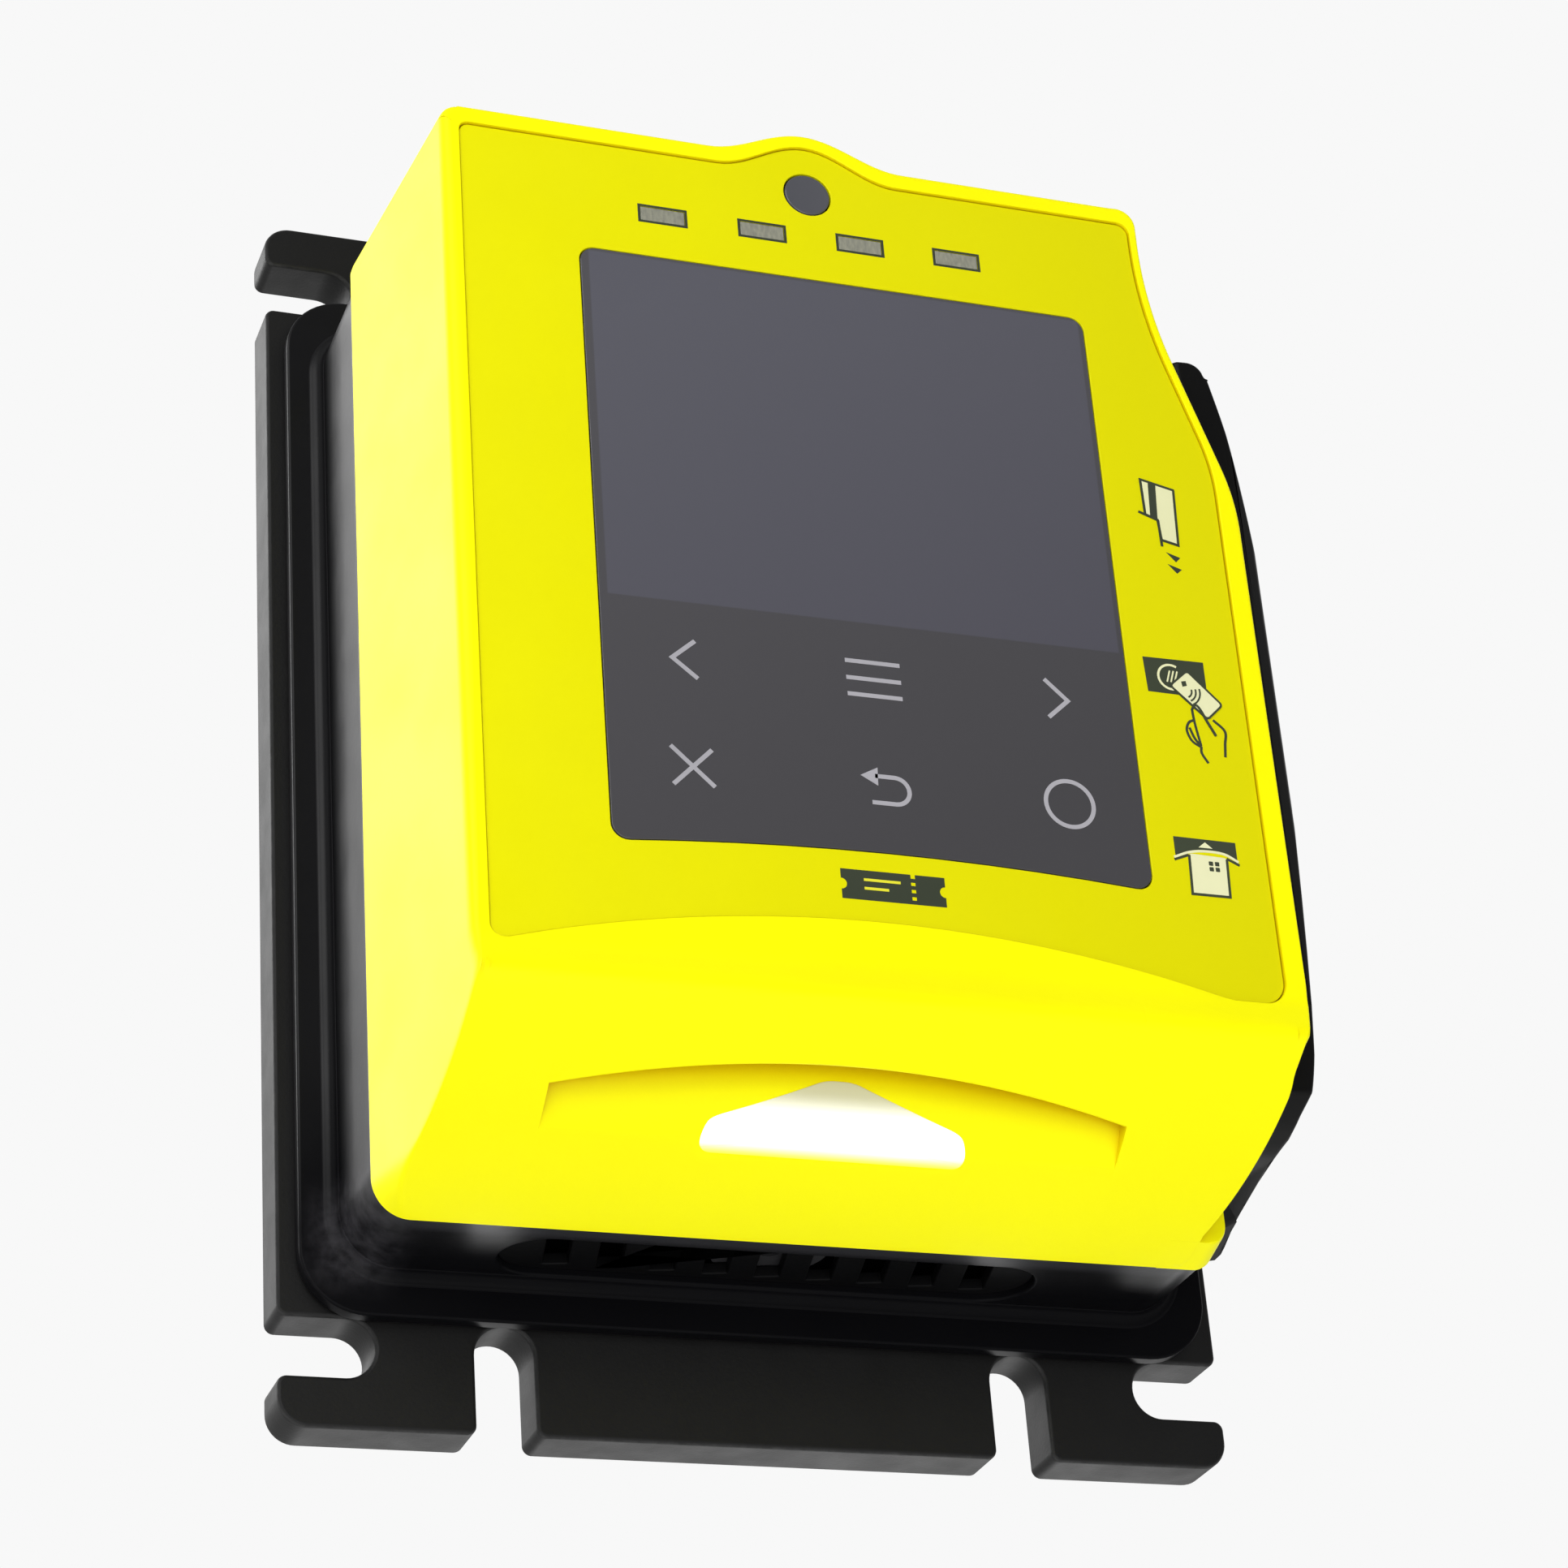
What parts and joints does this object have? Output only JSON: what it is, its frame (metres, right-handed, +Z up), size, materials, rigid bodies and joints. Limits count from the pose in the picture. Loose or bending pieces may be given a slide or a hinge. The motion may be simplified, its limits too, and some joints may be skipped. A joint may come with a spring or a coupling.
{
  "type": "ticket validator",
  "caption": "Wall-mounted validator with a yellow winged cover, dark display window, chip-card slot with lit arrow, swipe rail and a slotted mounting plate.",
  "frame": {"origin": "centre of the mounting plate's back face", "axes": "-Y out of the display face, +Y into the wall, +Z up, +X to the right seen from the front"},
  "size_m": [0.1211, 0.0532, 0.1656],
  "materials": {
    "plate_steel": "satin powder coat",
    "black_rubber": "matte",
    "black_plastic": "fine moulded grain",
    "grille_plastic": "fine moulded grain",
    "yellow_plastic": "satin moulded",
    "printed_panel": "printed behind clear gloss",
    "window_glass": "smoked gloss",
    "status_lens": "translucent",
    "sensor_plastic": "smoked",
    "circuit_board": "solder mask",
    "led_resin": "clear resin",
    "display_glass": "dark glass",
    "bright_steel": "bright",
    "light_guide": "frosted, lit",
    "chip_resin": "moulded resin",
    "screw_steel": "zinc plated",
    "reader_plastic": "moulded",
    "carriage_plastic": "moulded",
    "contact_gold": "gold plated",
    "spring_steel": "spring steel",
    "head_metal": "lapped",
    "terminal_plastic": "moulded",
    "insert_brass": "knurled"
  },
  "bodies": {
    "validator": {"mounting_plate": "plate_steel", "plate_gasket": "black_rubber", "base_housing": "black_plastic", "base_grille": "grille_plastic", "joint_seal": "black_rubber", "front_cover": "yellow_plastic", "face_panel": "printed_panel", "window_pane": "window_glass", "status_windows": "status_lens", "sensor_lens": "sensor_plastic", "antenna_board": "circuit_board", "status_leds": "led_resin", "display_module": "display_glass", "display_tray": "bright_steel", "touch_key_board": "circuit_board", "arrow_light_guide": "light_guide", "arrow_led_board": "circuit_board", "tray_standoffs": "bright_steel", "main_board": "circuit_board", "processor_shield": "bright_steel", "board_parts": "chip_resin", "board_screws": "screw_steel", "reader_front_plate": "reader_plastic", "reader_guides": "reader_plastic", "reader_back_plate": "reader_plastic", "reader_housing": "reader_plastic", "carriage_springs": "spring_steel", "lever_pin": "screw_steel", "card_switch": "chip_resin", "swipe_rail": "black_plastic", "rail_screws": "screw_steel", "head_bracket": "bright_steel", "bracket_screws": "screw_steel", "sounder": "chip_resin", "port_board": "circuit_board", "port_standoffs": "screw_steel", "data_jack": "chip_resin", "power_terminal": "terminal_plastic", "usb_port": "bright_steel", "sim_board": "circuit_board", "sim_sockets": "bright_steel", "door_pin": "screw_steel", "cover_screws": "screw_steel", "cover_inserts": "insert_brass", "plate_screws": "screw_steel"},
    "magnetic_head_body": {"magnetic_head": "head_metal", "head_leaf_spring": "spring_steel"},
    "contact_carriage_body": {"contact_carriage": "carriage_plastic", "contact_leaves": "contact_gold"},
    "card_lever_body": {"card_lever": "carriage_plastic"},
    "service_door_body": {"service_door": "black_plastic"}
  },
  "joints": [
    {"name": "magnetic_head_float", "type": "slide", "parent": "validator", "child": "magnetic_head_body", "axis": [-0.9553, -0.2957, 0], "range_m": [0, 0.0008], "stiffness_N_per_m": 1200, "springref_m": -0.0006},
    {"name": "contact_carriage_slide", "type": "slide", "parent": "validator", "child": "contact_carriage_body", "axis": [0, 0, 1], "range_m": [0, 0.0025], "stiffness_N_per_m": 300, "springref_m": -0.001, "deforming": ["carriage_springs"]},
    {"name": "card_lever_turn", "type": "hinge", "parent": "validator", "child": "card_lever_body", "pos_m": [0.0148, -0.03965, -0.01], "axis": [-1, 0, 0], "range_deg": [0, 14], "stiffness_Nm_per_rad": 0.002, "springref_deg": -17.19},
    {"name": "service_door_hinge", "type": "hinge", "parent": "validator", "child": "service_door_body", "pos_m": [0, -0.0016, 0.0463], "axis": [1, 0, 0], "range_deg": [0, 95]}
  ]
}
